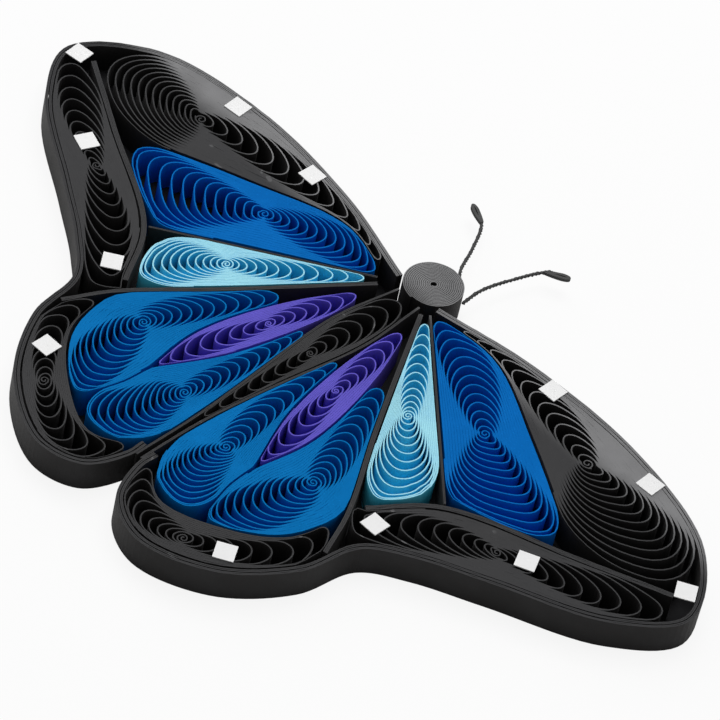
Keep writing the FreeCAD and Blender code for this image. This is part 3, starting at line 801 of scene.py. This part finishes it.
HEAD_TURNS = 15
HEAD_STEPS = 56
HEAD_EYE = 0.4
HEAD_INSET = 0.12
head_path = []
for index in range(HEAD_TURNS * HEAD_STEPS + 1):
    wound = index / HEAD_STEPS
    radius = HEAD_EYE + (HEAD_RADIUS - HEAD_INSET - HEAD_EYE) * wound / HEAD_TURNS
    turn = 2 * math.pi * (wound - 0.25)
    place = Vector((math.cos(turn), math.sin(turn))) * radius
    head_path.append(to_frame(place, 1))
builder = bmesh.new()
tops = add_ribbon(builder, head_path, [PAPER] * len(head_path))
roughened(tops, 0.06, 9)
finished("head_winding", builder, black_paper, "head_coil")
head_strip = sum((end - start).length for start, end in zip(head_path, head_path[1:]))
print("head's strip, mm:", round(head_strip / MM))

# %% [markdown]
# Borders and dividers are several strips glued flat against each other. One thick wall
# would look like plastic. Each ply is a ribbon of its own here, a hair apart and not
# quite level, so the layers show at the rim.

# %% Borders and dividers
PLY_DROP = 0.05
PLY_WAVE = 0.07
# The strips beside the body spread a little past their nominal thickness
SPREAD = 1.6


def add_plies(name, node, line, width, plies, side):
    """Layers side by side across the given width."""
    builder = bmesh.new()
    pitch = width / plies
    for ply in range(plies):
        layer = line.moved(-width / 2 + pitch * (ply + 0.5))
        path = [to_frame(place, side) for place in layer.points]
        drop = PLY_DROP * MM * random.Random(node + str(ply)).random()
        tops = add_ribbon(builder, path, [pitch - SEAM] * len(path), 0.0, STRIP - drop)
        roughened(tops, PLY_WAVE, ply + side)
    return finished(name, builder, black_paper, node)


for side_name, side, _ in sides:
    wing = lines[side_name]
    outer_line = wing["outline"].moved(-BORDER / 2)
    inner_line = wing["outline"].moved(-1.5 * BORDER - LAYER_GAP)
    for label, line, width, plies in (
            ("outer_border_strip", outer_line, BORDER, 2),
            ("inner_border_strip", inner_line, BORDER, 2),
            ("forewing_band_strip", wing["band"], BAND, 4),
            ("blue_divider_strip", wing["blue"], DIVIDER, 2),
            ("waist_strip", wing["waist"], WAIST, 3),
            ("body_side_strip", wing["body"], BODY_SIDE * SPREAD, 2)):
        node = f"{side_name}_{label}"
        add_plies(node + "_plies", node, line, width, plies, side)
        print(f"{label:20s} {plies} layers, {line.length:5.1f} mm")

# %% [markdown]
# Twelve white paper squares are glued along the rim. They are cut by hand: the corners
# are sharp, the sheet is thin and bends up slightly where it has no glue. A flat card
# would do from afar; a small grid lets each corner lift by its own amount. Place, size
# and turn are read from the frame's own squares.

# %% White squares
GRID = 6
CORNER_LIFT = 0.05
SHEET = 0.15
spot_nodes = [node for node in sorted(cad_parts) if node.endswith("_spot")]
for node in spot_nodes:
    vertices = [vertex.co.copy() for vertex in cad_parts[node].data.vertices]
    middle = sum(vertices, Vector()) / len(vertices)
    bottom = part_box(node)[0].z
    lowest = min(vertices, key=lambda point: point.y)
    rightmost = max(vertices, key=lambda point: point.x)
    across = (rightmost - lowest).to_2d()
    angle = math.atan2(across.y, across.x)
    side_length = across.length
    builder = bmesh.new()
    bmesh.ops.create_grid(builder, x_segments=GRID, y_segments=GRID, size=side_length / 2)
    curl = random.Random(node)
    corner_lift = [curl.uniform(0.0, CORNER_LIFT) * MM for _ in range(4)]
    for vert in builder.verts:
        share_x = vert.co.x / side_length + 0.5
        share_y = vert.co.y / side_length + 0.5
        vert.co.z = sum(lift * weight**3 for lift, weight in zip(corner_lift, (
            share_x * share_y, share_x * (1 - share_y), (1 - share_x) * share_y,
            (1 - share_x) * (1 - share_y))))
    grown = bmesh.ops.extrude_face_region(builder, geom=list(builder.faces))
    raised = [part for part in grown["geom"] if isinstance(part, bmesh.types.BMVert)]
    bmesh.ops.translate(builder, verts=raised, vec=(0, 0, SHEET * MM))
    bmesh.ops.rotate(builder, verts=builder.verts, cent=(0, 0, 0),
                     matrix=Matrix.Rotation(angle, 3, "Z"))
    bmesh.ops.translate(builder, verts=builder.verts, vec=(middle.x, middle.y, bottom))
    finished(node + "_paper", builder, white_paper, node)
print("white squares:", len(spot_nodes), "of", round(side_length / MM, 2), "mm")

# %% [markdown]
# An antenna is a strip rolled between the fingers to a thin rough strand. A screw
# modifier could turn a strip round its axis, but the strand also bends. So a curve gets a
# profile with three lobes and is turned along its way, which gives the twist.

# %% Twisted strand
STRAND_RADIUS = 0.27
STRAND_LOBE = 0.07
STRAND_FLATNESS = 0.8
PROFILE_POINTS = 12


def strand_mesh(name, points, twist_turns):
    """A twisted strand swept along a soft line, as a mesh."""
    profile_curve = bpy.data.curves.new(name + "_profile", "CURVE")
    profile_curve.dimensions = "2D"
    profile_line = profile_curve.splines.new("POLY")
    profile_line.points.add(PROFILE_POINTS - 1)
    for index, point in enumerate(profile_line.points):
        turn = 2 * math.pi * index / PROFILE_POINTS
        radius = (STRAND_RADIUS + STRAND_LOBE * math.cos(3 * turn)) * MM
        point.co = (radius * math.cos(turn), radius * STRAND_FLATNESS * math.sin(turn), 0, 1)
    profile_line.use_cyclic_u = True
    profile = bpy.data.objects.new(name + "_profile", profile_curve)
    curve = bpy.data.curves.new(name, "CURVE")
    curve.dimensions = "3D"
    curve.bevel_mode = "OBJECT"
    curve.bevel_object = profile
    curve.use_fill_caps = True
    line = curve.splines.new("POLY")
    line.points.add(len(points) - 1)
    for index, (point, place) in enumerate(zip(line.points, points)):
        point.co = (*place, 1)
        point.tilt = 2 * math.pi * twist_turns * index / len(points)
        point.radius = 1.0 + 0.18 * noise(place * 700)
    holder = bpy.data.objects.new(name, curve)
    for part in (profile, holder):
        bpy.context.scene.collection.objects.link(part)
    layers = bpy.context.evaluated_depsgraph_get()
    mesh = bpy.data.meshes.new_from_object(holder.evaluated_get(layers))
    bpy.data.objects.remove(holder)
    bpy.data.objects.remove(profile)
    return mesh


# %% [markdown]
# The far end of each antenna is folded back on itself and pressed flat, like a small
# petal: a short loop of strip, joined to the strand in one object.

# %% Antennae
ANTENNA = {
    "left": [(-1.5, 7.3), (-3.7, 11.6), (-7.0, 16.6), (-10.4, 18.0)],
    "right": [(3.2, 7.0), (4.0, 12.0), (6.2, 18.6), (8.6, 19.8)],
}
STEM_END = 0.86
STEM_STEPS = 90
TWISTS = 9
PETAL_START = 0.80
PETAL_STEPS = 36
PETAL_SWING = 0.42
PETAL_PAPER = 0.45
PETAL_HALF = 0.28

for side_name, places in ANTENNA.items():
    node = side_name + "_antenna"
    low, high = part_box(node)
    height = (low.z + high.z) / 2
    points = [Vector(place) for place in places]
    away = (points[0] * 2 - points[1]).normalized() * (HEAD_RADIUS + 0.05)
    line = smooth([away] + points, 24)
    stem = line.cut(0.0, STEM_END)
    path = []
    for index in range(STEM_STEPS + 1):
        place = stem.at(index / STEM_STEPS)
        spot = head_middle + Vector((place.x, place.y, 0)) * MM
        path.append(Vector((spot.x, spot.y, height)))
    builder = bmesh.new()
    mesh = strand_mesh(node + "_strand", path, TWISTS)
    builder.from_mesh(mesh)
    bpy.data.meshes.remove(mesh)
    root_point = line.at(PETAL_START)
    end_point = line.at(1.0)
    axis = (end_point - root_point).normalized()
    across = Vector((-axis.y, axis.x))
    length = (end_point - root_point).length
    loop = []
    for index in range(PETAL_STEPS + 1):
        turn = 2 * math.pi * index / PETAL_STEPS
        along_share = 0.5 - 0.5 * math.cos(turn)
        swing = PETAL_SWING * math.sin(turn) * (0.35 + 0.65 * along_share)
        place = root_point + axis * (length * along_share) + across * swing
        spot = head_middle + Vector((place.x, place.y, 0)) * MM
        loop.append(spot)
    tops = add_ribbon(builder, loop, [PETAL_PAPER] * len(loop),
                      height - PETAL_HALF * MM, height + PETAL_HALF * MM)
    roughened(tops, 0.1, 3)
    finished(node + "_twist", builder, twisted_paper, node)
    print(node, "length, mm:", round(line.length, 1))

# %% [markdown]
# The piece lies on a white table. A floor lit to pure white would need so much light that
# the pale papers lose their tone. So the camera sees most of the floor as plain white
# through the Light Path node, and the rest of it still takes the shadow of the piece.

# %% White table
FLOOR_SIZE = 3.0
PLAIN_WHITE = 0.88
floor_builder = bmesh.new()
bmesh.ops.create_grid(floor_builder, x_segments=1, y_segments=1, size=FLOOR_SIZE)
bmesh.ops.translate(floor_builder, verts=floor_builder.verts, vec=(0, 0, -0.00002))
floor_mesh = bpy.data.meshes.new("table")
floor_builder.to_mesh(floor_mesh)
floor_builder.free()
floor = bpy.data.objects.new("table", floor_mesh)
bpy.context.scene.collection.objects.link(floor)
table_material = bpy.data.materials.new("white_table")
table_material.use_nodes = True
tree = table_material.node_tree
tree.nodes.clear()
output = tree.nodes.new("ShaderNodeOutputMaterial")
diffuse = tree.nodes.new("ShaderNodeBsdfDiffuse")
diffuse.inputs["Color"].default_value = (0.9, 0.9, 0.9, 1)
glow = tree.nodes.new("ShaderNodeEmission")
glow.inputs["Color"].default_value = (1, 1, 1, 1)
glow.inputs["Strength"].default_value = 1.0
path_node = tree.nodes.new("ShaderNodeLightPath")
mixer = tree.nodes.new("ShaderNodeMixShader")
share = Socket(tree, path_node.outputs["Is Camera Ray"]) * PLAIN_WHITE
tree.links.new(share.link, mixer.inputs[0])
tree.links.new(diffuse.outputs[0], mixer.inputs[1])
tree.links.new(glow.outputs[0], mixer.inputs[2])
tree.links.new(mixer.outputs[0], output.inputs["Surface"])
floor_mesh.materials.append(table_material)
print("floor, m:", 2 * FLOOR_SIZE, "square")

# %% [markdown]
# Between the turns hardly any light comes down to the table, and it looks black there.
# The plain white of the floor would shine through, so a dark patch lies under the coils,
# a little inside the border.

# %% Shaded table
PATCH_INSET = 0.6
shade_mesh = bpy.data.meshes.new("shaded_table")
shade_builder = bmesh.new()
inset = lines["left"]["outline"].moved(-PATCH_INSET).points
around = [to_frame(place, 1) for place in inset]
around += [to_frame(place, -1) for place in inset[::-1]]
shade_builder.faces.new([shade_builder.verts.new((p.x, p.y, -0.00001)) for p in around])
bmesh.ops.recalc_face_normals(shade_builder, faces=shade_builder.faces)
shade_builder.to_mesh(shade_mesh)
shade_builder.free()
shade = bpy.data.objects.new("shaded_table", shade_mesh)
bpy.context.scene.collection.objects.link(shade)
shade_material, tree, shader, _ = new_material("shaded_table")
shader.inputs["Base Color"].default_value = (0.012, 0.012, 0.014, 1)
shader.inputs["Roughness"].default_value = 0.9
shade_mesh.materials.append(shade_material)
print("points round the dark patch:", len(around))

# %% [markdown]
# The light is soft and comes mostly from above, with a little more from behind on the left,
# where the leading edge shines; that grey shine is partly a painted highlight in the black
# paper. Two large square lamps and an even white sky are enough; a sun would draw hard
# shadows between the turns.

# %% Light
WORLD_LIGHT = 0.32
world = bpy.data.worlds.new("studio")
world.use_nodes = True
world.node_tree.nodes["Background"].inputs["Color"].default_value = (1, 1, 1, 1)
world.node_tree.nodes["Background"].inputs["Strength"].default_value = WORLD_LIGHT
bpy.context.scene.world = world


def lamp(name, place, size, power):
    """A square lamp that looks at the middle of the piece."""
    data = bpy.data.lights.new(name, "AREA")
    data.shape = "SQUARE"
    data.size = size
    data.energy = power
    holder = bpy.data.objects.new(name, data)
    holder.location = place
    holder.rotation_euler = (-Vector(place)).to_track_quat("-Z", "Y").to_euler()
    bpy.context.scene.collection.objects.link(holder)


lamp("soft_overhead", (-0.25, 0.35, 0.9), 0.7, 5.5)
lamp("soft_back", (-0.7, 0.2, 0.45), 0.5, 2.0)
bpy.context.scene.view_settings.view_transform = "Standard"
print("lamps:", len(bpy.data.lights))
